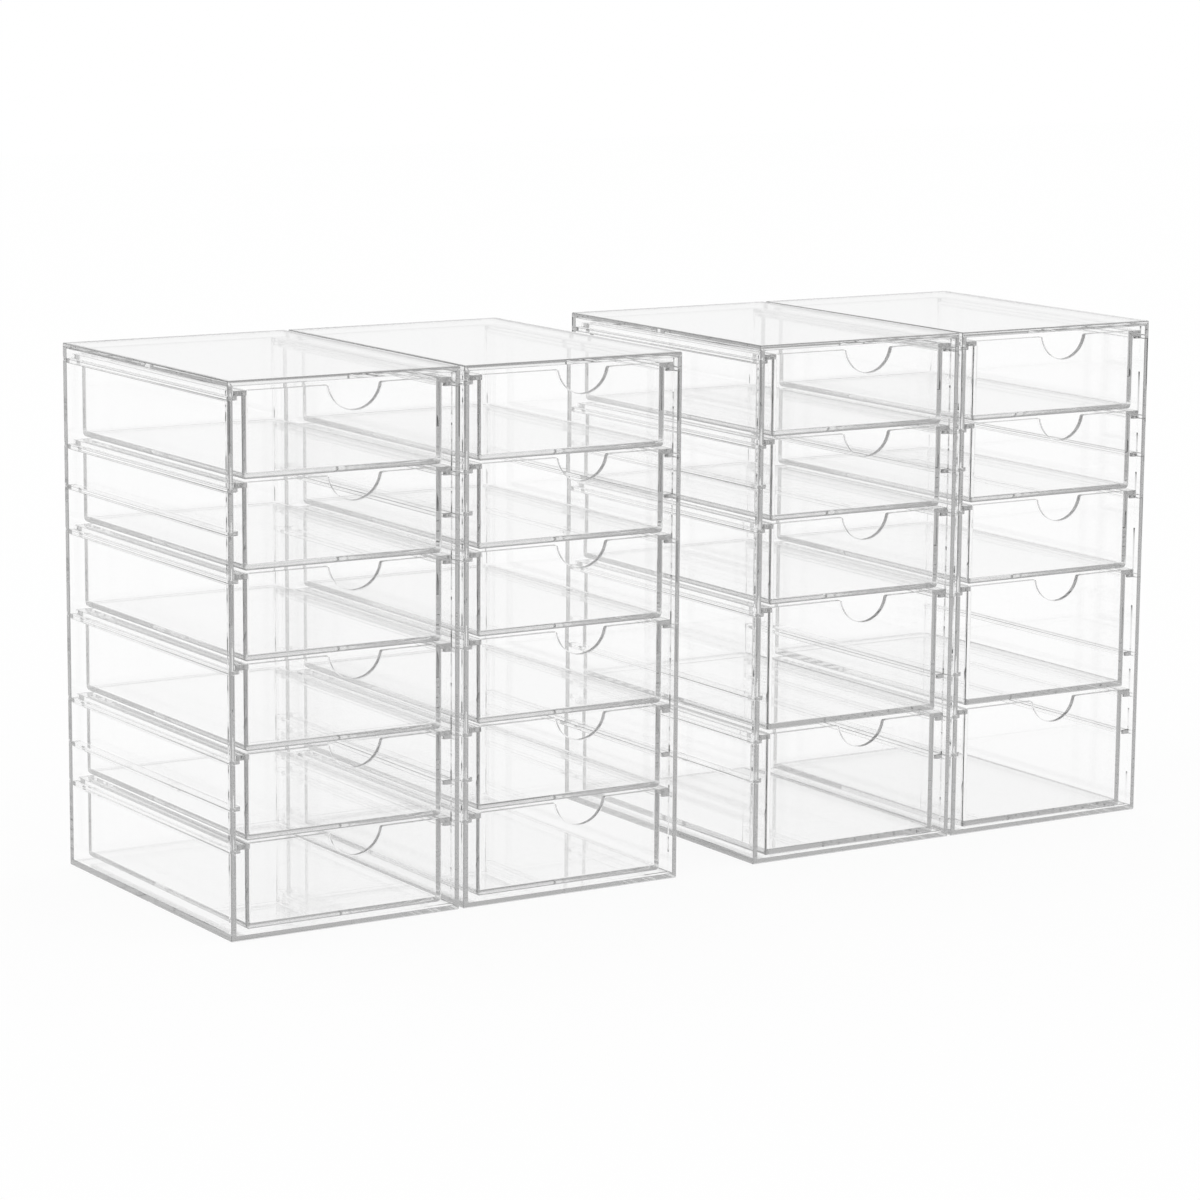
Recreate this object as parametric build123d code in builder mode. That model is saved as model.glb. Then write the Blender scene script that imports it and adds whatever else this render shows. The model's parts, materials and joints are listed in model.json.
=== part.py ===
from build123d import *

import os

# Clear drawer towers for stamps and craft parts. Four open-fronted cases stand in one row, as two
# close pairs. Each case holds a column of drawers that hang by their side flanges on rails moulded
# into the case's side walls, so a drawer slides out towards -Y.
# Millimetres. +Z is up, +X runs along the row and the fronts face -Y. The origin is the centre of
# the row's footprint, on the surface it stands on.

# Case
CASE_WIDTH = 150.0
CASE_DEPTH = 216.5
CASE_HEIGHT = 321.5
WALL = 3.2
CASE_EDGE_BEVEL = 0.8

# Rails on the case's side walls
RAIL_REACH = 5.4  # from the side wall's inner face
RAIL_THICKNESS = 2.5
RAIL_SETBACK = 3.9  # front end behind the case's front
RAIL_NOSE_BEVEL = 1.2  # lead-in at the rail's front tip

# Drawers
TOP_DRAWER_LEVEL = 315.5  # upper face of the highest drawer's flanges
SHORT_PITCH = 51.9
DEEP_PITCH = 79.1
SHORT_HEIGHT = 50.5
DEEP_HEIGHT = 76.5
DRAWER_WIDTH = 128.8
DRAWER_DEPTH = 208.0
DRAWER_SETBACK = 1.6  # front face behind the case's front
CORNER_BEVEL = 1.4  # upright outer corners
SHORT_FOOT_BEVEL = 1.4  # lower outer edge of a short drawer
DEEP_FOOT_BEVEL = 0.6
FLANGE_REACH = 5.8  # beyond the drawer's side wall
FLANGE_THICKNESS = 3.0
FLANGE_CORNER_BEVEL = 0.8
RUNNING_GAP = 0.1  # between a flange and the rail it slides on

# Finger notch in the drawer's front wall
NOTCH_RADIUS = 17.0
NOTCH_RISE = 2.0  # circle's centre above the drawer's top edge
NOTCH_OFFSET = 6.8  # to the right of the drawer's centre line

# Row
CLOSE_GAP_LEFT = 2.7  # between the two left cases
CLOSE_GAP_RIGHT = 2.3  # between the two right cases
AISLE = 58.8  # between the two pairs
RIGHT_PAIR_SETBACK = 3.4

PICK_MARGIN = 0.01  # how near its nominal place an edge must lie to be picked for a bevel

# Heights of the flanges' upper faces. Every case has rails for six short drawers and for deep
# drawers at half steps, and its drawers use some of them.
SHORT_LEVELS = [TOP_DRAWER_LEVEL - SHORT_PITCH * step for step in range(6)]
MIDDLE_LEVEL = SHORT_LEVELS[3]
LOWER_HALF_LEVEL = MIDDLE_LEVEL - DEEP_PITCH
UPPER_HALF_LEVEL = MIDDLE_LEVEL + DEEP_PITCH
RAIL_DROP = FLANGE_THICKNESS + RUNNING_GAP
RAIL_TOPS = [level - RAIL_DROP for level in SHORT_LEVELS + [UPPER_HALF_LEVEL, LOWER_HALF_LEVEL]]

ROW_LENGTH = 4 * CASE_WIDTH + CLOSE_GAP_LEFT + AISLE + CLOSE_GAP_RIGHT
LEFT_PAIR_FRONT = -(CASE_DEPTH + RIGHT_PAIR_SETBACK) / 2
RIGHT_PAIR_FRONT = LEFT_PAIR_FRONT + RIGHT_PAIR_SETBACK
ROW_END_CENTRE = (ROW_LENGTH - CASE_WIDTH) / 2
CASE_PLACES = {
    "a": (-ROW_END_CENTRE, LEFT_PAIR_FRONT),
    "b": (-ROW_END_CENTRE + CASE_WIDTH + CLOSE_GAP_LEFT, LEFT_PAIR_FRONT),
    "c": (ROW_END_CENTRE - CASE_WIDTH - CLOSE_GAP_RIGHT, RIGHT_PAIR_FRONT),
    "d": (ROW_END_CENTRE, RIGHT_PAIR_FRONT),
}

# Drawers of each case from the top down
SHORT_STACK = [("short", level) for level in SHORT_LEVELS]
MIXED_STACK = SHORT_STACK[:3] + [("deep", MIDDLE_LEVEL), ("deep", LOWER_HALF_LEVEL)]
STACKS = {"a": SHORT_STACK, "b": SHORT_STACK, "c": MIXED_STACK, "d": MIXED_STACK}


def build_case():
    """Open-fronted case with eight pairs of rails, centred on X, its front in the plane Y = 0."""
    inner_width = CASE_WIDTH - 2 * WALL
    inner_height = CASE_HEIGHT - 2 * WALL
    rail_length = CASE_DEPTH - WALL - RAIL_SETBACK
    rail_centre = (inner_width - RAIL_REACH) / 2

    with BuildPart() as case:
        with BuildSketch(Plane.XZ):
            Rectangle(CASE_WIDTH, CASE_HEIGHT, align=(Align.CENTER, Align.MIN))
        extrude(amount=-CASE_DEPTH)
        chamfer(case.edges(), length=CASE_EDGE_BEVEL)

        with BuildSketch(Plane.XZ):
            with Locations((0, WALL)):
                Rectangle(inner_width, inner_height, align=(Align.CENTER, Align.MIN))
        extrude(amount=-(CASE_DEPTH - WALL), mode=Mode.SUBTRACT)

        with BuildSketch(Plane.XZ.offset(-RAIL_SETBACK)):
            for top in RAIL_TOPS:
                with Locations((-rail_centre, top), (rail_centre, top)):
                    Rectangle(RAIL_REACH, RAIL_THICKNESS, align=(Align.CENTER, Align.MAX))
        extrude(amount=-rail_length)
        noses = (
            case.edges()
            .filter_by(Axis.Z)
            .filter_by(lambda edge: abs(edge.length - RAIL_THICKNESS) < PICK_MARGIN)
            .filter_by(lambda edge: abs(edge.center().Y - RAIL_SETBACK) < PICK_MARGIN)
            .filter_by(lambda edge: abs(edge.center().X) < inner_width / 2 - RAIL_REACH / 2)
        )
        chamfer(noses, length=RAIL_NOSE_BEVEL)
    return case.part


def build_drawer(height, foot_bevel):
    """Open tray hanging down from Z = 0, centred on X, its front face in the plane Y = 0."""
    flange_width = FLANGE_REACH + CORNER_BEVEL
    flange_centre = (DRAWER_WIDTH + FLANGE_REACH - CORNER_BEVEL) / 2
    flange_tip = DRAWER_WIDTH / 2 + FLANGE_REACH

    with BuildPart() as drawer:
        with BuildSketch(Plane.XY):
            with Locations((0, DRAWER_DEPTH / 2)):
                Rectangle(DRAWER_WIDTH, DRAWER_DEPTH)
        extrude(amount=-height)
        chamfer(drawer.edges().filter_by(Axis.Z), length=CORNER_BEVEL)
        chamfer(drawer.faces().sort_by(Axis.Z)[0].edges(), length=foot_bevel)

        with BuildSketch(Plane.XY.offset(-FLANGE_THICKNESS)):
            with Locations((-flange_centre, DRAWER_DEPTH / 2), (flange_centre, DRAWER_DEPTH / 2)):
                Rectangle(flange_width, DRAWER_DEPTH)
        extrude(amount=FLANGE_THICKNESS)
        flange_corners = (
            drawer.edges()
            .filter_by(Axis.Z)
            .filter_by(lambda edge: abs(abs(edge.center().X) - flange_tip) < PICK_MARGIN)
        )
        chamfer(flange_corners, length=FLANGE_CORNER_BEVEL)

        with BuildSketch(Plane.XY):
            with Locations((0, DRAWER_DEPTH / 2)):
                Rectangle(DRAWER_WIDTH - 2 * WALL, DRAWER_DEPTH - 2 * WALL)
        extrude(amount=-(height - WALL), mode=Mode.SUBTRACT)

        with BuildSketch(Plane.XZ):
            with Locations((NOTCH_OFFSET, NOTCH_RISE)):
                Circle(NOTCH_RADIUS)
        extrude(amount=-WALL, mode=Mode.SUBTRACT)
    return drawer.part


case_shape = build_case()
drawer_shapes = {
    "short": build_drawer(SHORT_HEIGHT, SHORT_FOOT_BEVEL),
    "deep": build_drawer(DEEP_HEIGHT, DEEP_FOOT_BEVEL),
}

os.makedirs("parts", exist_ok=True)

for tower, (centre, front) in CASE_PLACES.items():
    with BuildPart() as case:
        with Locations((centre, front, 0)):
            add(case_shape)
    case.part.label = f"case_{tower}"
    export_step(case.part, f"parts/case_{tower}.step")

    for place, (kind, level) in enumerate(STACKS[tower], start=1):
        with BuildPart() as drawer:
            with Locations((centre, front + DRAWER_SETBACK, level)):
                add(drawer_shapes[kind])
        drawer.part.label = f"{kind}_drawer_{tower}{place}"
        export_step(drawer.part, f"parts/{drawer.part.label}.step")
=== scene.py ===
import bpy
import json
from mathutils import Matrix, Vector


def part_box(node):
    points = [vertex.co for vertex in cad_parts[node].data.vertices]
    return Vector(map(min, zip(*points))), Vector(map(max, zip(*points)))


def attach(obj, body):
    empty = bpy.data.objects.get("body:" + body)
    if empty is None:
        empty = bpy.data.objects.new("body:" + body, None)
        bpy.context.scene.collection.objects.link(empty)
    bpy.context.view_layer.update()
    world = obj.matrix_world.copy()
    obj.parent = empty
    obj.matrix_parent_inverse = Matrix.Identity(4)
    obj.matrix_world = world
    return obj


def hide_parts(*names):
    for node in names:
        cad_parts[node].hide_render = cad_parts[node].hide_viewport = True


bl_info = {
    "name": "Clear stamp drawer towers",
    "version": (1, 0, 0),
    "blender": (4, 5, 0),
    "location": "3D View > Sidebar > Drawers",
    "description": "Four clear plastic towers of drawers for stamps and craft parts, with a studio",
    "category": "Add Mesh",
}

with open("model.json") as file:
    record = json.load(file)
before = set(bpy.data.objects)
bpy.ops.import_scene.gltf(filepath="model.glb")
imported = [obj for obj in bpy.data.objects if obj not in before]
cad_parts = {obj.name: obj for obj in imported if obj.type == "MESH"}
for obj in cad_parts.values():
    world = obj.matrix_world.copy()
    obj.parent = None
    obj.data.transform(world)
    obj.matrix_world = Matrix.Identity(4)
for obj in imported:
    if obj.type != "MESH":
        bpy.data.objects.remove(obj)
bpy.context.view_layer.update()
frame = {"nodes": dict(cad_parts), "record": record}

import json
import math

import bpy
import numpy as np
from bpy.props import FloatProperty, FloatVectorProperty, IntProperty, PointerProperty
from mathutils import Matrix

MM = 0.001
CASE_NODES = sorted(name for name in frame["nodes"] if name.startswith("case"))
SHORT_NODES = sorted(name for name in frame["nodes"] if name.startswith("short_drawer"))
DEEP_NODES = sorted(name for name in frame["nodes"] if name.startswith("deep_drawer"))

ARC_STEPS = 5  # facets on a small rounded edge
CORNER_STEPS = 8  # facets on a drawer's corner, seen from above
FLANGE_STEPS = CORNER_STEPS - 2  # facets on a flange's corner, which has two more points before it
NOTCH_STEPS = 40  # facets along the finger notch
LIP_RUN = 3.0  # mm of level rim on which the notch's rounding fades
RUNNING_GAP = 0.1  # mm between a flange and the rail it slides on
WELD_DIGITS = 5  # decimal places of a millimetre to which points that coincide agree
LEVEL_DIGITS = 3  # decimal places of a millimetre to which drawers side by side are level

# Stretch of the moulding waves along X, Y and Z. The melt flows up a case and back along a drawer.
CASE_GRAIN = (1.0, 1.0, 0.5)
DRAWER_GRAIN = (1.0, 0.5, 1.0)

FLOOR_HALF = 6.0  # metres
FLOOR_DROP = 0.0003  # metres under the cases
LONG_PATH = 96  # reflections and passages through a surface that a path of light may take
SCATTERINGS = 2  # times that a path of light may be scattered by the floor
MIDWAY = 0.5  # from a whole number to halfway up to the next one
SENSOR_WIDTH = 36.0  # mm
NEAREST_SEEN = 0.05  # metres from the camera
FARTHEST_SEEN = 50.0  # metres from the camera


def metres_to_mm(values):
    """Lengths of the frame, as millimetres."""
    return np.array(values, float) / MM


# ---------------------------------------------------------------------------------------------
# Sizes and finishes a user may change
# ---------------------------------------------------------------------------------------------


class CaseSizes(bpy.types.PropertyGroup):
    """Sizes of a case and its rails"""
    wall: FloatProperty(
        name="Wall", description="Thickness of every wall of a case",
        default=3.2 * MM, unit="LENGTH")
    edge_radius: FloatProperty(
        name="Outer edge radius", description="Rounding of a case's outer edges",
        default=0.7 * MM, unit="LENGTH")
    rim_radius: FloatProperty(
        name="Rim radius", description="Rounding of the inner edge round the open front",
        default=0.25 * MM, unit="LENGTH")
    corner_radius: FloatProperty(
        name="Inner corner radius", description="Rounding where two walls meet inside",
        default=0.6 * MM, unit="LENGTH")
    rail_reach: FloatProperty(
        name="Rail reach", description="How far a rail stands out from its side wall",
        default=5.4 * MM, unit="LENGTH")
    rail_thickness: FloatProperty(
        name="Rail thickness", description="Height of a rail's section",
        default=2.5 * MM, unit="LENGTH")
    rail_edge_radius: FloatProperty(
        name="Rail edge radius", description="Rounding of a rail's long edges",
        default=0.3 * MM, unit="LENGTH")
    rail_nose_radius: FloatProperty(
        name="Rail nose radius", description="Rounding of a rail's front corner, seen from above",
        default=1.5 * MM, unit="LENGTH")
    rail_setback: FloatProperty(
        name="Rail setback", description="Distance from the case's front to the rails' front ends",
        default=3.9 * MM, unit="LENGTH")


class DrawerSizes(bpy.types.PropertyGroup):
    """Sizes of both kinds of drawer"""
    wall: FloatProperty(
        name="Wall", description="Thickness of a drawer's walls and floor",
        default=3.2 * MM, unit="LENGTH")
    short_foot_width: FloatProperty(
        name="Short foot width", description="Width of the rounding under a short drawer",
        default=2.4 * MM, unit="LENGTH")
    short_foot_height: FloatProperty(
        name="Short foot height", description="Height of the rounding under a short drawer",
        default=3.2 * MM, unit="LENGTH")
    deep_foot_width: FloatProperty(
        name="Deep foot width", description="Width of the rounding under a deep drawer",
        default=0.5 * MM, unit="LENGTH")
    deep_foot_height: FloatProperty(
        name="Deep foot height", description="Height of the rounding under a deep drawer",
        default=0.7 * MM, unit="LENGTH")
    corner_radius: FloatProperty(
        name="Corner radius", description="Rounding of a drawer's upright outer corners",
        default=2.4 * MM, unit="LENGTH")
    inner_radius: FloatProperty(
        name="Inner radius", description="Rounding of a drawer's inner corners and floor edge",
        default=0.6 * MM, unit="LENGTH")
    flange_reach: FloatProperty(
        name="Flange reach", description="How far a side flange stands out from the side wall",
        default=5.8 * MM, unit="LENGTH")
    flange_thickness: FloatProperty(
        name="Flange thickness", description="Height of a side flange",
        default=3.0 * MM, unit="LENGTH")
    flange_corner_radius: FloatProperty(
        name="Flange corner radius", description="Rounding of a flange's corners, seen from above",
        default=1.2 * MM, unit="LENGTH")
    edge_radius: FloatProperty(
        name="Edge radius", description="Rounding of the drawer's rim and flange edges",
        default=0.25 * MM, unit="LENGTH")
    lip_radius: FloatProperty(
        name="Lip radius", description="Rounding of the notch's edges, where a finger pulls",
        default=0.5 * MM, unit="LENGTH")
    notch_radius: FloatProperty(
        name="Notch radius", description="Radius of the finger notch",
        default=17.0 * MM, unit="LENGTH")
    notch_rise: FloatProperty(
        name="Notch rise", description="Height of the notch's centre above the rim",
        default=2.0 * MM, unit="LENGTH")
    notch_offset: FloatProperty(
        name="Notch offset", description="Notch centre to the right of the drawer's centre line",
        default=6.8 * MM, unit="LENGTH")
    notch_corner_radius: FloatProperty(
        name="Notch corner radius", description="Rounding where the notch meets the rim",
        default=1.6 * MM, unit="LENGTH")


class PlasticFinish(bpy.types.PropertyGroup):
    """Look of the clear plastic"""
    refraction: FloatProperty(
        name="Refractive index", description="Typical clear acrylic is 1.49",
        default=1.49, min=1.0, max=2.0)
    absorption: FloatProperty(
        name="Absorption", description="Density of the absorption inside the plastic, per metre",
        default=0.5, min=0.0, max=50.0)
    flow_depth: FloatProperty(
        name="Flow depth", description="Depth of the slow waves left by moulding",
        default=0.002 * MM, unit="LENGTH")
    flow_size: FloatProperty(
        name="Flow size", description="Length of the slow waves left by moulding",
        default=70.0 * MM, unit="LENGTH")


class StudioSettings(bpy.types.PropertyGroup):
    """Floor, light and camera"""
    floor_colour: FloatVectorProperty(
        name="Floor", description="Colour of the floor", subtype="COLOR", size=3,
        default=(0.95, 0.95, 0.95), min=0.0, max=1.0)
    floor_glow: FloatProperty(
        name="Floor glow", subtype="FACTOR", default=0.93, min=0.0, max=1.0,
        description="Share of the floor's brightness that shadows leave alone")
    reflected_light: FloatProperty(
        name="Reflected light", subtype="FACTOR", default=0.92, min=0.0, max=1.0,
        description="Strength of the surroundings as the plastic mirrors them")
    trapped_light: FloatProperty(
        name="Trapped light", subtype="FACTOR", default=0.5, min=0.0, max=1.0,
        description="Strength of light that was reflected many times inside the plastic")
    trapped_after: IntProperty(
        name="Trapped after", default=7, min=1, max=40,
        description="Reflections after which light counts as trapped")
    camera_place: FloatVectorProperty(
        name="Camera place", description="Where the camera stands", subtype="TRANSLATION", size=3,
        default=(-1.3520, -2.11165, 0.5970), unit="LENGTH")
    camera_yaw: FloatProperty(
        name="Yaw", description="Camera's turn to the right of +Y", subtype="ANGLE", default=0.564)
    camera_pitch: FloatProperty(
        name="Pitch", description="Camera's dip below level", subtype="ANGLE", default=0.1757)
    camera_roll: FloatProperty(
        name="Roll", description="Camera's roll", subtype="ANGLE", default=0.0083)
    camera_lens: FloatProperty(
        name="Lens", description="Focal length on a 36 mm sensor, in millimetres", default=121.61)


# ---------------------------------------------------------------------------------------------
# Meshes
# ---------------------------------------------------------------------------------------------


def quarter(steps):
    """Angles from nothing to a quarter turn, in even steps."""
    return np.linspace(0.0, math.pi / 2, steps + 1)


def skin(name, rings, rounded):
    """Closed mesh from a grid of points, in millimetres: point (row, column) of rings is joined to
    its neighbours by four-sided faces, each row is a closed loop, and the first and last rows are
    closed by one flat face each. Points that coincide become one, and faces left with no area go.
    A face whose entry in rounded is true is shaded smooth, and the others stay flat."""
    rows, columns, _ = rings.shape
    points, place = np.unique(np.round(rings.reshape(-1, 3), WELD_DIGITS), axis=0,
                              return_inverse=True)
    place = place.reshape(rows, columns)
    right = np.roll(place, -1, axis=1)
    quads = np.stack([place[:-1], right[:-1], right[1:], place[1:]], axis=-1).reshape(-1, 4)
    smooth = rounded.reshape(-1)
    repeats = quads == np.roll(quads, -1, axis=1)
    corners = 4 - repeats.sum(axis=1)
    crossed = (quads[:, 0] == quads[:, 2]) | (quads[:, 1] == quads[:, 3])
    whole = (corners == 4) & ~crossed
    thin = (corners == 3) & ~crossed
    triangles = quads[thin][~repeats[thin]].reshape(-1, 3)
    caps = [loop[loop != np.roll(loop, 1)] for loop in (place[0][::-1], place[-1])]
    faces = quads[whole].tolist() + triangles.tolist() + [cap.tolist() for cap in caps]
    shade = np.concatenate([smooth[whole], smooth[thin], [False, False]])

    mesh = bpy.data.meshes.new(name)
    mesh.from_pydata((points * MM).tolist(), [], faces)
    mesh.polygons.foreach_set("use_smooth", shade)
    mesh.update()
    piece = bpy.data.objects.new(name, mesh)
    bpy.context.scene.collection.objects.link(piece)
    return piece


def case_columns(sizes, width, height, rail_tops):
    """One turn round a case's section, in millimetres, starting at the lower left corner. Returns,
    for each point, the inner wall's place, the outer wall's place, the direction out of the wall,
    1 where it stands on a rail's tip and 0 elsewhere, how far the tip's rounding tucks it back
    from the rail's reach, and whether the strip to the next point is rounded. A rail is six or
    more points on a side wall: its root, its rounded lower and upper tips, and its root again."""
    wall, reach_edge, thickness, inner_radius, outer_radius = (
        value / MM for value in (sizes.wall, sizes.rail_edge_radius, sizes.rail_thickness,
                                 sizes.corner_radius, sizes.edge_radius))
    turn = quarter(ARC_STEPS)
    half = width / 2
    tuck_one = reach_edge * np.concatenate([[0], 1 - np.sin(turn), 1 - np.sin(turn[::-1]), [0]])
    rise_one = np.concatenate([[0], reach_edge * (1 - np.cos(turn)),
                               thickness - reach_edge * (1 - np.cos(turn[::-1])), [thickness]])
    takes_one = np.concatenate([[0], np.ones(2 * len(turn)), [0]])
    bend_one = np.concatenate([[False], np.ones(len(turn) - 1, bool), [False],
                               np.ones(len(turn) - 1, bool), [False, False]])
    tops = np.sort(rail_tops)
    heights = (tops[:, None] - thickness + rise_one).ravel()
    tuck, takes = np.tile(tuck_one, len(tops)), np.tile(takes_one, len(tops))
    bend = np.tile(bend_one, len(tops))

    columns = []
    corner_bend = np.append(np.ones(ARC_STEPS, bool), False)
    plain = np.zeros(ARC_STEPS + 1)

    def add_corner(side_x, side_z, start):
        """Quarter turn round one corner, inner and outer."""
        angle = start + turn
        out = np.stack([np.cos(angle), np.sin(angle)], axis=1)
        inner_centre = np.array([side_x * (half - wall - inner_radius),
                                 height / 2 + side_z * (height / 2 - wall - inner_radius)])
        outer_centre = np.array([side_x * (half - outer_radius),
                                 height / 2 + side_z * (height / 2 - outer_radius)])
        columns.append((inner_centre + inner_radius * out, outer_centre + outer_radius * out,
                        out, plain, plain, corner_bend))

    def add_side(side, order, bend):
        """One side wall with its rails, upwards or downwards by order."""
        level = heights[::order]
        ones = np.full(len(level), side)
        columns.append((np.stack([ones * (half - wall), level], axis=1),
                        np.stack([ones * half, level], axis=1),
                        np.stack([ones, 0 * ones], axis=1),
                        takes[::order], tuck[::order], bend))

    for side_x, side_z, start in ((-1, -1, math.pi), (1, -1, 1.5 * math.pi)):
        add_corner(side_x, side_z, start)
    add_side(1.0, 1, bend)
    for side_x, side_z, start in ((1, 1, 0.0), (-1, 1, 0.5 * math.pi)):
        add_corner(side_x, side_z, start)
    add_side(-1.0, -1, np.append(bend[::-1][1:], False))
    return tuple(np.concatenate(parts) for parts in zip(*columns))


def case_shape(name, cad_node, sizes, rail_tops):
    """A case: its section is carried from the back of the outside to the front, over the rim, and
    along the inside to the back. Where the rails begin, the section's rail points move in from the
    side walls by the rails' reach, on a quarter circle at the nose."""
    low, high = (metres_to_mm(corner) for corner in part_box(cad_node))
    width, depth, height = high - low
    inner, outer, out, takes, tuck, bends = case_columns(sizes, width, height, rail_tops)
    wall, edge, rim, setback, nose, reach = (
        value / MM for value in (sizes.wall, sizes.edge_radius, sizes.rim_radius,
                                 sizes.rail_setback, sizes.rail_nose_radius, sizes.rail_reach))
    turn = quarter(ARC_STEPS)
    rows, rounded_rows = [], []

    def add_row(section, y, rounded):
        """Put the section at one depth. Rounded is for the strip from the row before."""
        rows.append(np.stack([section[:, 0], np.full(len(section), y), section[:, 1]], axis=1))
        rounded_rows.append(rounded)

    for step, angle in enumerate(turn):
        add_row(outer - out * edge * (1 - math.sin(angle)),
                depth - edge * (1 - math.cos(angle)), step > 0)
    for step, angle in enumerate(turn[::-1]):
        add_row(outer - out * edge * (1 - math.sin(angle)),
                edge * (1 - math.cos(angle)), step > 0)
    for step, angle in enumerate(turn):
        add_row(inner + out * rim * (1 - math.sin(angle)), rim * (1 - math.cos(angle)), step > 0)
    add_row(inner, setback, False)

    def with_rails(current):
        """Section with its rail points moved in from the side walls by the current reach."""
        shift = np.where(takes > 0, current - tuck, 0.0)
        return inner - np.stack([out[:, 0] * shift, np.zeros(len(shift))], axis=1)

    for step, angle in enumerate(turn):
        add_row(with_rails(reach - nose * (1 - math.sin(angle))),
                setback + nose * (1 - math.cos(angle)), step > 0)
    add_row(with_rails(reach), depth - wall, False)

    rings = np.stack(rows) + np.array([(low[0] + high[0]) / 2, low[1], low[2]])
    rounded = np.array(rounded_rows)[1:, None] | bends[None, :]
    return skin(name, rings, rounded)


def rail_heights(flange_thickness):
    """Upper faces of the rails, in millimetres above the floor: one for every level at which a
    drawer of any tower hangs, and one more where a deep drawer would fit above."""
    below = flange_thickness / MM + RUNNING_GAP
    short, deep = (np.array([metres_to_mm(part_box(cad_node)[1])[2] for cad_node in cad_nodes])
                   for cad_nodes in (SHORT_NODES, DEEP_NODES))
    middle = deep.max()
    spare = middle + (middle - deep.min())
    levels = np.concatenate([short, deep, [spare]])
    return np.unique(np.round(levels, LEVEL_DIGITS)) - below


def drawer_columns(sizes, width, depth):
    """One turn round a drawer, in millimetres: across the front wall from left to right, then past
    the right side, the back and the left side. The front is y = 0 and the side walls' outer faces
    are half of width from the middle. Returns a dict of whole arrays, one entry for each column:
    the outlines of the body, of the flange under and at the rim, and of the inside at and below
    the rim, with their outward directions; the rim's height, its direction in the front wall's
    plane and its edges' radius; the radius of the flange's lower edge; and which strips to the
    next column are rounded."""
    wall, corner, inner_corner, flange, flange_corner, edge, lip = (
        value / MM for value in (sizes.wall, sizes.corner_radius, sizes.inner_radius,
                                 sizes.flange_reach, sizes.flange_corner_radius,
                                 sizes.edge_radius, sizes.lip_radius))
    notch, rise, offset, notch_corner = (
        value / MM for value in (sizes.notch_radius, sizes.notch_rise, sizes.notch_offset,
                                 sizes.notch_corner_radius))
    half = width / 2

    # Rim across the front wall: level, a small rounded corner, the notch's arc, and back again.
    # The front wall's flat faces end one edge radius short of the rim, at flat_x.
    centre_run = math.sqrt((notch + notch_corner) ** 2 - (rise + notch_corner) ** 2)
    lean = math.atan2(centre_run, rise + notch_corner)
    small = np.linspace(0.0, lean, ARC_STEPS + 1)
    big = np.linspace(-lean, lean, NOTCH_STEPS + 1)
    left_x = -centre_run + notch_corner * np.sin(small)
    left_z = -notch_corner + notch_corner * np.cos(small)
    arc_x, arc_z = notch * np.sin(big), rise - notch * np.cos(big)
    fade = np.linspace(0.0, 1.0, ARC_STEPS + 1)[:-1]
    left_run = -centre_run - LIP_RUN * (1 - fade)
    level = np.zeros(ARC_STEPS)
    half_x = np.concatenate([left_run, left_x[:-1]])
    half_z = np.concatenate([level, left_z[:-1]])
    half_lean = np.concatenate([level, small[:-1]])
    half_radius = np.concatenate([edge + (lip - edge) * fade, np.full(ARC_STEPS, lip)])
    rim_x = offset + np.concatenate([half_x, arc_x, -half_x[::-1]])
    rim_z = np.concatenate([half_z, arc_z, half_z[::-1]])
    lean_x = np.concatenate([np.sin(half_lean), -np.sin(big), -np.sin(half_lean)[::-1]])
    lean_z = np.concatenate([np.cos(half_lean), np.cos(big), np.cos(half_lean)[::-1]])
    radius = np.concatenate([half_radius, np.full(len(big), lip), half_radius[::-1]])
    flat_x = rim_x - lean_x * radius
    front = len(rim_x)

    # Quarter turn at the front right corner; the others are its mirror images.
    turn = quarter(CORNER_STEPS)
    direction = np.stack([np.sin(turn), -np.cos(turn)], axis=1)
    body = np.array([half - corner, corner]) + corner * direction
    inside = (np.array([half - wall - inner_corner, wall + inner_corner])
              + inner_corner * direction)
    flange_turn = quarter(FLANGE_STEPS)
    flange_out = np.stack([np.sin(flange_turn), -np.cos(flange_turn)], axis=1)
    flange_arc = (np.array([half + flange - flange_corner, flange_corner])
                  + flange_corner * flange_out)
    lead = np.array([[half - corner, 0.0], [half, 0.0]])
    lead_out = np.array([[0.0, -1.0], [0.0, -1.0]])
    brim = np.concatenate([lead, flange_arc])
    brim_out = np.concatenate([lead_out, flange_out])
    under = np.concatenate([[0.0, edge], np.full(len(flange_arc), edge)])
    body_bend = np.append(np.ones(CORNER_STEPS, bool), False)
    brim_bend = np.concatenate([[False, False], np.ones(FLANGE_STEPS, bool), [False]])

    def around(front_part, corner_part, back):
        """Front, then the four corners in turn, each a mirror image of the front right one, with
        the back ones moved to back."""
        flip_x = np.array([-1.0, 1.0])
        flip_y = np.array([1.0, -1.0])
        shift = np.array([0.0, back])
        back_right = corner_part[::-1] * flip_y + shift
        back_left = corner_part * flip_x * flip_y + shift
        front_left = corner_part[::-1] * flip_x
        return np.concatenate([front_part, corner_part, back_right, back_left, front_left])

    def outline(front_x, front_y, corner_part):
        """Places along one turn: the front wall's points, at one depth, and the corners."""
        front_part = np.stack([front_x, np.full(front, front_y)], axis=1)
        return around(front_part, corner_part, depth)

    def directions(corner_part):
        """Outward directions along one turn. The front wall's is -Y."""
        return around(np.tile([0.0, -1.0], (front, 1)), corner_part, 0.0)

    def strips(front_bend, corner_bend):
        """Whether the strip from each column to the next is rounded."""
        back = np.append(corner_bend[:-1][::-1], False)
        return np.concatenate([front_bend, corner_bend, back, corner_bend, back])

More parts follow.
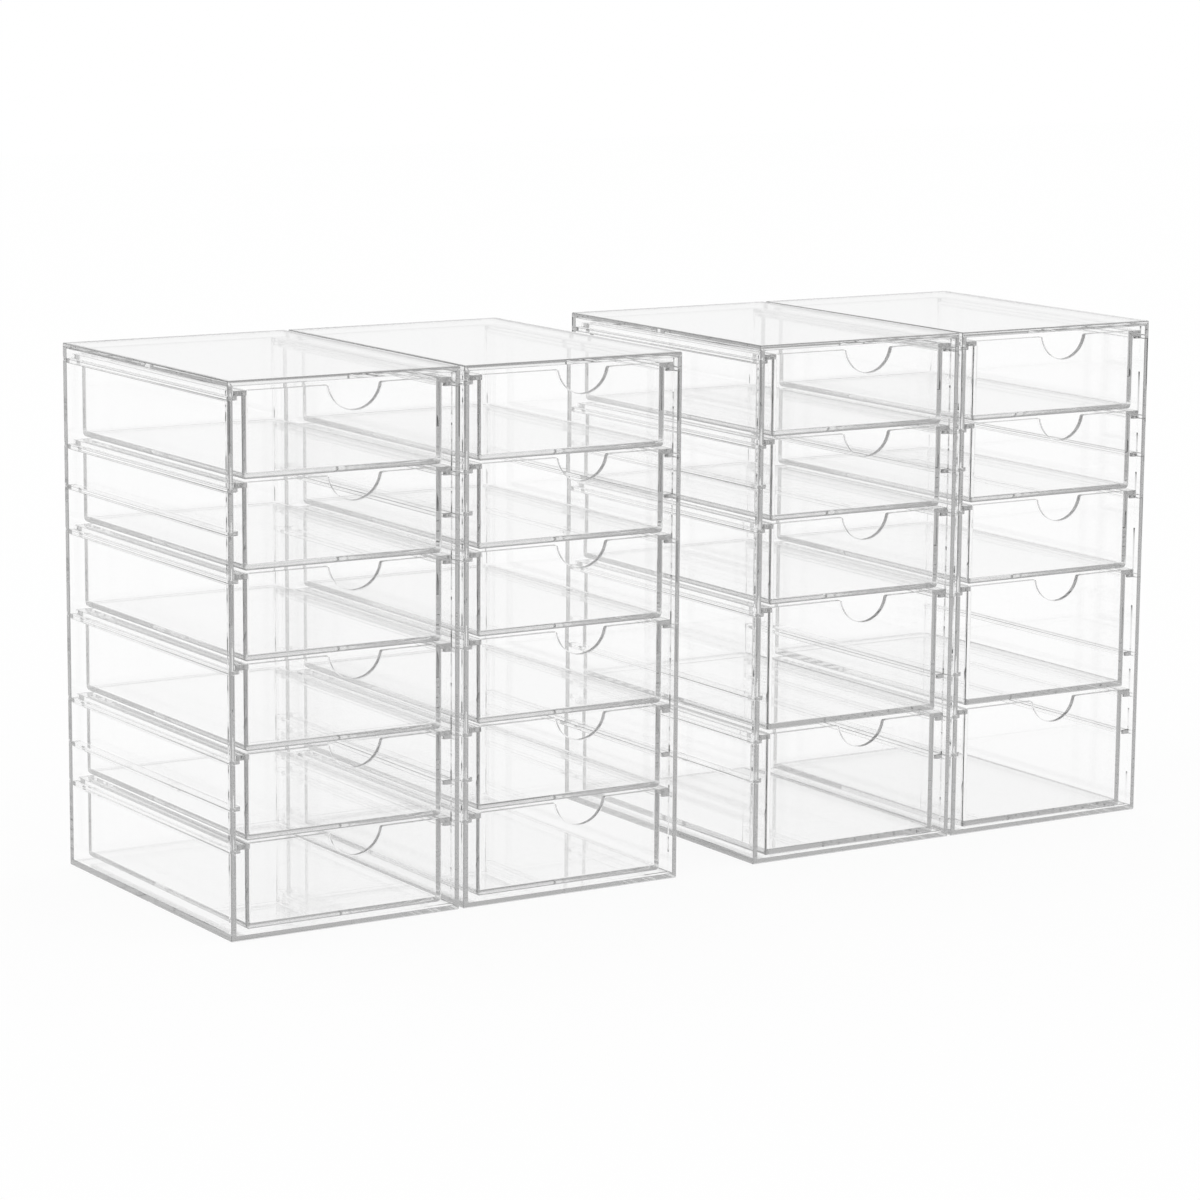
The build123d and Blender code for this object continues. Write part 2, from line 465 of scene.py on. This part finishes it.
    zeros = np.zeros(len(turn))
    front_bend = np.append(np.ones(front - 1, bool), False)
    four = np.concatenate([under, under[::-1], under, under[::-1]])
    return {
        "body": outline(flat_x, 0.0, body),
        "shelf": outline(flat_x, 0.0, brim),
        "brim": outline(rim_x, 0.0, brim),
        "brim_out": directions(brim_out),
        "inside": outline(rim_x, wall, inside),
        "below": outline(flat_x, wall, inside),
        "corner_out": directions(direction),
        "rim": np.concatenate([rim_z, np.tile(zeros, 4)]),
        "radius": np.concatenate([radius, np.tile(zeros + edge, 4)]),
        "lean_x": np.concatenate([lean_x, np.tile(zeros, 4)]),
        "lean_z": np.concatenate([lean_z, np.tile(zeros + 1.0, 4)]),
        "under": np.concatenate([np.zeros(front), four]),
        "notch_bend": strips(front_bend, np.zeros(len(turn), bool)),
        "body_bend": strips(np.zeros(front, bool), body_bend),
        "brim_bend": strips(np.zeros(front, bool), brim_bend),
    }


def drawer_shape(name, cad_node, sizes, foot_width, foot_height):
    """A drawer: one turn of columns is carried from the underside up the outer wall, out and over
    the side flanges, across the rim with its finger notch, and down the inner wall to the floor.
    Every edge on the way is a quarter circle in section, and the foot a quarter ellipse."""
    low, high = (metres_to_mm(corner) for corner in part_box(cad_node))
    flange, wall, thick, cove = (
        value / MM for value in (sizes.flange_reach, sizes.wall, sizes.flange_thickness,
                                 sizes.inner_radius))
    width = high[0] - low[0] - 2 * flange
    depth, height = (high - low)[1:]
    column = drawer_columns(sizes, width, depth)
    rim, radius, under = column["rim"], column["radius"], column["under"]
    lean_x, lean_z = column["lean_x"], column["lean_z"]
    body_bend, brim_bend = column["body_bend"], column["brim_bend"]
    none_round = np.zeros(len(rim), bool)
    all_round = np.ones(len(rim), bool)
    # Level of the flange's underside, or the notch's edge where that is lower.
    shelf = np.minimum(-thick, rim - radius * lean_z)
    turn = quarter(ARC_STEPS)
    rows, rounded = [], []

    def add_row(outline, z, bend):
        """Put an outline at its levels. Bend is for the strip from the row before."""
        rows.append(np.column_stack([outline, np.broadcast_to(z, len(outline))]))
        rounded.append(bend)

    for step, angle in enumerate(turn):
        add_row(column["body"] - column["corner_out"] * foot_width * (1 - math.sin(angle)),
                -height + foot_height * (1 - math.cos(angle)), all_round if step else none_round)
    add_row(column["body"], shelf, body_bend)
    for step, angle in enumerate(turn):
        inset = (under * (1 - math.sin(angle)))[:, None]
        add_row(column["shelf"] - column["brim_out"] * inset,
                shelf + under * (1 - math.cos(angle)),
                (under > 0) | brim_bend if step else none_round)

    def rim_row(outline, out, angle, bend, side):
        """Row of the rim's rounded edge, at an angle from upright wall to level top. Side is 1 for
        the outer edge and -1 for the inner one."""
        sink = radius * (1 - math.sin(angle))
        inset = radius * (1 - math.cos(angle))
        place = outline - side * out * inset[:, None]
        place = place - np.stack([lean_x * sink, np.zeros(len(rim))], axis=1)
        add_row(place, rim - lean_z * sink, bend)

    for step, angle in enumerate(turn):
        rim_row(column["brim"], column["brim_out"], angle,
                all_round if step else brim_bend, 1.0)
    for step, angle in enumerate(turn[::-1]):
        rim_row(column["inside"], column["corner_out"], angle,
                all_round if step else column["notch_bend"], -1.0)
    for step, angle in enumerate(turn):
        add_row(column["below"] - column["corner_out"] * cove * (1 - math.cos(angle)),
                -height + wall + cove * (1 - math.sin(angle)),
                all_round if step else body_bend)

    rings = np.stack(rows) + np.array([(low[0] + high[0]) / 2, low[1], high[2]])
    return skin(name, rings, np.stack(rounded)[1:])


# ---------------------------------------------------------------------------------------------
# Finishes
# ---------------------------------------------------------------------------------------------


def colour(hex_text):
    """Linear colour with full alpha from an sRGB hex value."""
    parts = np.array([int(hex_text[i:i + 2], 16) for i in (1, 3, 5)]) / 255
    linear = np.where(parts <= 0.04045, parts / 12.92, ((parts + 0.055) / 1.055) ** 2.4)
    return (*linear.tolist(), 1.0)


def node(tree, kind, settings=None, inputs=None, links=None):
    """Add one node with its settings, its sockets' values and its incoming links."""
    new = tree.nodes.new(kind)
    for key, value in (settings or {}).items():
        setattr(new, key, value)
    for key, value in (inputs or {}).items():
        new.inputs[key].default_value = value
    for key, socket in (links or {}).items():
        tree.links.new(socket, new.inputs[key])
    return new


def clear_acrylic(name, finish, grain):
    """Clear acrylic, injection moulded and polished: colourless, with the faint slow waves that
    the flow into the mould leaves in the reflections, and grey where light travels far inside."""
    material = bpy.data.materials.new(name)
    material.use_nodes = True
    tree = material.node_tree
    tree.nodes.clear()
    place = node(tree, "ShaderNodeTexCoord")
    flow = node(tree, "ShaderNodeMapping", inputs={"Scale": grain},
                links={"Vector": place.outputs["Object"]})
    waves = node(tree, "ShaderNodeTexNoise", {"noise_dimensions": "3D"},
                 {"Scale": 1.0 / finish.flow_size, "Detail": 1.0, "Roughness": 0.4},
                 {"Vector": flow.outputs["Vector"]})
    bump = node(tree, "ShaderNodeBump", inputs={"Strength": 1.0, "Distance": finish.flow_depth},
                links={"Height": waves.outputs["Fac"]})
    surface = node(tree, "ShaderNodeBsdfPrincipled", inputs={
        "Base Color": colour("#FFFFFF"), "Roughness": 0.0, "IOR": finish.refraction,
        "Transmission Weight": 1.0}, links={"Normal": bump.outputs["Normal"]})
    inside = node(tree, "ShaderNodeVolumeAbsorption",
                  inputs={"Color": colour("#000000"), "Density": finish.absorption})
    node(tree, "ShaderNodeOutputMaterial", links={
        "Surface": surface.outputs["BSDF"], "Volume": inside.outputs["Volume"]})
    return material


# ---------------------------------------------------------------------------------------------
# Operators
# ---------------------------------------------------------------------------------------------


def body_of(cad_node):
    """Body of the frame that carries a CAD node."""
    bodies = frame["record"]["behaviour"]["bodies"]
    return next(body for body, names in bodies.items() if cad_node in names)


def dress(piece, cad_node, material):
    """Give a piece its finish, and let it ride with and stand for its CAD node."""
    piece.data.materials.append(material)
    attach(piece, body_of(cad_node))
    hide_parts(cad_node)


def make_drawers(scene, cad_nodes, foot_width, foot_height):
    """One drawer for each node, all of one finish."""
    name = "clear_acrylic_moulded_drawer"
    material = bpy.data.materials.get(name) or clear_acrylic(
        name, scene.drawer_towers_finish, DRAWER_GRAIN)
    for cad_node in cad_nodes:
        piece = drawer_shape(f"{cad_node}_tray", cad_node, scene.drawer_towers_drawer,
                             foot_width / MM, foot_height / MM)
        dress(piece, cad_node, material)


class DRAWERS_OT_cases(bpy.types.Operator):
    """Make the four cases, each with its rails"""
    bl_idname = "drawers.cases"
    bl_label = "Cases"

    def execute(self, context):
        scene = context.scene
        material = clear_acrylic("clear_acrylic_moulded_case", scene.drawer_towers_finish,
                                 CASE_GRAIN)
        rail_tops = rail_heights(scene.drawer_towers_drawer.flange_thickness)
        for cad_node in CASE_NODES:
            piece = case_shape(f"{cad_node}_moulding", cad_node, scene.drawer_towers_case,
                               rail_tops)
            dress(piece, cad_node, material)
        return {"FINISHED"}


class DRAWERS_OT_short_drawers(bpy.types.Operator):
    """Make the short drawers"""
    bl_idname = "drawers.short_drawers"
    bl_label = "Short drawers"

    def execute(self, context):
        sizes = context.scene.drawer_towers_drawer
        make_drawers(context.scene, SHORT_NODES, sizes.short_foot_width, sizes.short_foot_height)
        return {"FINISHED"}


class DRAWERS_OT_deep_drawers(bpy.types.Operator):
    """Make the deep drawers"""
    bl_idname = "drawers.deep_drawers"
    bl_label = "Deep drawers"

    def execute(self, context):
        sizes = context.scene.drawer_towers_drawer
        make_drawers(context.scene, DEEP_NODES, sizes.deep_foot_width, sizes.deep_foot_height)
        return {"FINISHED"}


class DRAWERS_OT_studio(bpy.types.Operator):
    """Make the floor, the light and the camera"""
    bl_idname = "drawers.studio"
    bl_label = "Studio"

    def execute(self, context):
        scene = context.scene
        studio = scene.drawer_towers_studio
        make_floor(studio)
        make_light(scene, studio)
        make_camera(scene, studio)
        scene.view_settings.view_transform = "Standard"
        # A clear object shows black where a path is cut short, so paths may be long.
        scene.cycles.max_bounces = LONG_PATH
        scene.cycles.transmission_bounces = LONG_PATH
        scene.cycles.glossy_bounces = LONG_PATH
        scene.cycles.diffuse_bounces = SCATTERINGS
        return {"FINISHED"}


def path_strength(tree, studio, light_path, once):
    """Strength of the surroundings for a ray: 1 where it comes straight or through clear walls,
    the share once where it was reflected, and the trapped share where it was reflected more
    often than the limit. Light that ran round and round inside the plastic's edges comes out
    dim, which draws the grey edges of clear mouldings."""
    reflected = node(tree, "ShaderNodeMath", {"operation": "GREATER_THAN"}, {1: MIDWAY},
                     {0: light_path.outputs["Glossy Depth"]})
    trapped = node(tree, "ShaderNodeMath", {"operation": "GREATER_THAN"},
                   {1: studio.trapped_after + MIDWAY}, {0: light_path.outputs["Glossy Depth"]})
    lost = node(tree, "ShaderNodeMath", {"operation": "MULTIPLY_ADD"},
                {1: once - 1.0, 2: 1.0}, {0: reflected.outputs[0]})
    return node(tree, "ShaderNodeMath", {"operation": "MULTIPLY_ADD"},
                {1: studio.trapped_light - once},
                {0: trapped.outputs[0], 2: lost.outputs[0]}).outputs[0]


def make_floor(studio):
    """Flat pale floor. Rays from the camera, and rays reflected or bent by the clear plastic, see
    it almost as bright as the backdrop, and the rest of its light carries the object's shadow."""
    grid = np.array([(-1, -1), (1, -1), (1, 1), (-1, 1)], float) * FLOOR_HALF
    points = np.column_stack([grid, np.full(4, -FLOOR_DROP)])
    mesh = bpy.data.meshes.new("studio_floor")
    mesh.from_pydata(points.tolist(), [], [(0, 1, 2, 3)])
    floor = bpy.data.objects.new("studio_floor", mesh)
    bpy.context.scene.collection.objects.link(floor)
    material = bpy.data.materials.new("matt_white_paper")
    material.use_nodes = True
    tree = material.node_tree
    tree.nodes.clear()
    light_path = node(tree, "ShaderNodeLightPath")
    seen = node(tree, "ShaderNodeMath", {"operation": "MAXIMUM"}, links={
        0: light_path.outputs["Is Camera Ray"], 1: light_path.outputs["Is Glossy Ray"]})
    seen = node(tree, "ShaderNodeMath", {"operation": "MAXIMUM"}, links={
        0: seen.outputs[0], 1: light_path.outputs["Is Transmission Ray"]})
    share = node(tree, "ShaderNodeMath", {"operation": "MULTIPLY"}, {1: studio.floor_glow},
                 {0: seen.outputs[0]})
    paper = node(tree, "ShaderNodeBsdfDiffuse",
                 inputs={"Color": (*studio.floor_colour, 1.0)})
    glow = node(tree, "ShaderNodeEmission", inputs={"Color": colour("#FFFFFF")},
                links={"Strength": path_strength(tree, studio, light_path, 1.0)})
    mix = node(tree, "ShaderNodeMixShader", links={
        0: share.outputs[0], 1: paper.outputs["BSDF"], 2: glow.outputs["Emission"]})
    node(tree, "ShaderNodeOutputMaterial", links={"Surface": mix.outputs["Shader"]})
    mesh.materials.append(material)


def make_light(scene, studio):
    """One even white light from all round, as in a light tent."""
    world = bpy.data.worlds.new("light_tent")
    world.use_nodes = True
    tree = world.node_tree
    tree.nodes.clear()
    light_path = node(tree, "ShaderNodeLightPath")
    tent = node(tree, "ShaderNodeBackground", inputs={"Color": colour("#FFFFFF")},
                links={"Strength": path_strength(tree, studio, light_path, studio.reflected_light)})
    node(tree, "ShaderNodeOutputWorld", links={"Surface": tent.outputs["Background"]})
    scene.world = world


def make_camera(scene, studio):
    """Camera at the photograph's place: yaw to the right of +Y, pitch below level, then roll."""
    yaw, pitch, roll = studio.camera_yaw, studio.camera_pitch, studio.camera_roll
    ahead = np.array([math.sin(yaw) * math.cos(pitch), math.cos(yaw) * math.cos(pitch),
                      -math.sin(pitch)])
    across = np.array([math.cos(yaw), -math.sin(yaw), 0.0])
    up = np.cross(across, ahead)
    right = math.cos(roll) * across + math.sin(roll) * up
    top = math.cos(roll) * up - math.sin(roll) * across
    data = bpy.data.cameras.new("studio_camera")
    data.sensor_width = SENSOR_WIDTH
    data.lens = studio.camera_lens
    data.clip_start = NEAREST_SEEN
    data.clip_end = FARTHEST_SEEN
    camera = bpy.data.objects.new("studio_camera", data)
    scene.collection.objects.link(camera)
    turn = np.eye(4)
    turn[:3, 0], turn[:3, 1], turn[:3, 2] = right, top, -ahead
    turn[:3, 3] = studio.camera_place
    camera.matrix_world = Matrix(turn.tolist())
    scene.camera = camera


class DRAWERS_PT_panel(bpy.types.Panel):
    """Lists the pieces and the stage"""
    bl_idname = "DRAWERS_PT_panel"
    bl_label = "Clear drawer towers"
    bl_space_type = "VIEW_3D"
    bl_region_type = "UI"
    bl_category = "Drawers"

    def draw(self, context):
        """One button for each operator."""
        for operator in OPERATORS:
            self.layout.operator(operator.bl_idname)


OPERATORS = (DRAWERS_OT_studio, DRAWERS_OT_cases, DRAWERS_OT_short_drawers,
             DRAWERS_OT_deep_drawers)
GROUPS = {
    "drawer_towers_case": CaseSizes,
    "drawer_towers_drawer": DrawerSizes,
    "drawer_towers_finish": PlasticFinish,
    "drawer_towers_studio": StudioSettings,
}


def register():
    """Make the settings and the operators known to Blender."""
    for name, group in GROUPS.items():
        bpy.utils.register_class(group)
        setattr(bpy.types.Scene, name, PointerProperty(type=group))
    for operator in OPERATORS:
        bpy.utils.register_class(operator)
    bpy.utils.register_class(DRAWERS_PT_panel)


def unregister():
    """Take the operators and the settings out again."""
    bpy.utils.unregister_class(DRAWERS_PT_panel)
    for operator in reversed(OPERATORS):
        bpy.utils.unregister_class(operator)
    for name, group in reversed(GROUPS.items()):
        delattr(bpy.types.Scene, name)
        bpy.utils.unregister_class(group)


def main():
    """Build the stage and every piece."""
    register()
    bpy.ops.drawers.studio()
    bpy.ops.drawers.cases()
    bpy.ops.drawers.short_drawers()
    bpy.ops.drawers.deep_drawers()


if __name__ == "__main__":
    main()
